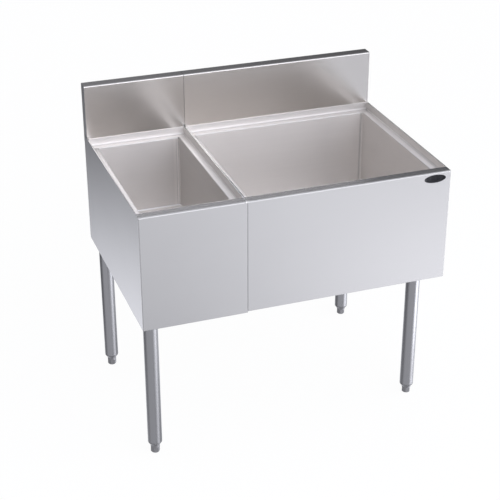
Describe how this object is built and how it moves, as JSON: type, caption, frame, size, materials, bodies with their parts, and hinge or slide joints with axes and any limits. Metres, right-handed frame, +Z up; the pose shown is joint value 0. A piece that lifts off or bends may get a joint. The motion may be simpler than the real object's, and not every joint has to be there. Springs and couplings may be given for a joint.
{
  "type": "underbar ice station",
  "caption": "Stainless underbar ice station: narrow bottle well and wide insulated ice bin side by side, low backsplash, tube legs with levelling feet.",
  "frame": {"origin": "on the floor under the middle of the station's box", "axes": "+Z up, +X to the station's right as the user faces it, +Y to the back, towards the wall"},
  "size_m": [0.9144, 0.6096, 0.9351],
  "materials": {
    "stainless_sheet": "satin",
    "stainless_liner": "satin",
    "leg_tube": "polished",
    "foot_metal": "satin",
    "socket_metal": "matte",
    "drain_metal": "polished",
    "fastener": "satin",
    "rubber": "matte",
    "foam": "matte"
  },
  "bodies": {
    "station": {"well_apron": "stainless_sheet", "well_end_panel": "stainless_sheet", "well_divider_panel": "stainless_sheet", "well_rear_panel": "stainless_sheet", "well_backsplash": "stainless_sheet", "well_splash_end_cap": "stainless_sheet", "well_bottom_pan": "stainless_sheet", "well_liner": "stainless_liner", "well_insulation": "foam", "well_drain_body": "drain_metal", "well_drain_gasket": "rubber", "well_drain_strainer": "drain_metal", "well_drain_locknut": "drain_metal", "well_drain_tailpiece": "drain_metal", "bin_apron": "stainless_sheet", "bin_end_panel": "stainless_sheet", "bin_divider_panel": "stainless_sheet", "bin_rear_panel": "stainless_sheet", "bin_backsplash": "stainless_sheet", "bin_splash_end_cap": "stainless_sheet", "bin_bottom_pan": "stainless_sheet", "bin_liner": "stainless_liner", "bin_insulation": "foam", "bin_drain_body": "drain_metal", "bin_drain_gasket": "rubber", "bin_drain_strainer": "drain_metal", "bin_drain_locknut": "drain_metal", "bin_drain_tailpiece": "drain_metal", "module_bolt_front": "fastener", "module_bolt_rear": "fastener", "module_nut_front": "fastener", "module_nut_rear": "fastener", "front_left_leg_socket": "socket_metal", "front_left_socket_screw": "fastener", "front_left_leg_tube": "leg_tube", "front_left_foot_insert": "foot_metal", "rear_left_leg_socket": "socket_metal", "rear_left_socket_screw": "fastener", "rear_left_leg_tube": "leg_tube", "rear_left_foot_insert": "foot_metal", "front_right_leg_socket": "socket_metal", "front_right_socket_screw": "fastener", "front_right_leg_tube": "leg_tube", "front_right_foot_insert": "foot_metal", "rear_right_leg_socket": "socket_metal", "rear_right_socket_screw": "fastener", "rear_right_leg_tube": "leg_tube", "rear_right_foot_insert": "foot_metal"},
    "front_left_foot": {"front_left_foot": "foot_metal"},
    "rear_left_foot": {"rear_left_foot": "foot_metal"},
    "front_right_foot": {"front_right_foot": "foot_metal"},
    "rear_right_foot": {"rear_right_foot": "foot_metal"}
  },
  "joints": [
    {"name": "front_left_level", "type": "slide", "parent": "station", "child": "front_left_foot", "axis": [0, 0, -1], "range_m": [-0.0075, 0.0138]},
    {"name": "rear_left_level", "type": "slide", "parent": "station", "child": "rear_left_foot", "axis": [0, 0, -1], "range_m": [-0.0075, 0.0138]},
    {"name": "front_right_level", "type": "slide", "parent": "station", "child": "front_right_foot", "axis": [0, 0, -1], "range_m": [-0.003, 0.0184]},
    {"name": "rear_right_level", "type": "slide", "parent": "station", "child": "rear_right_foot", "axis": [0, 0, -1], "range_m": [-0.003, 0.0184]}
  ]
}
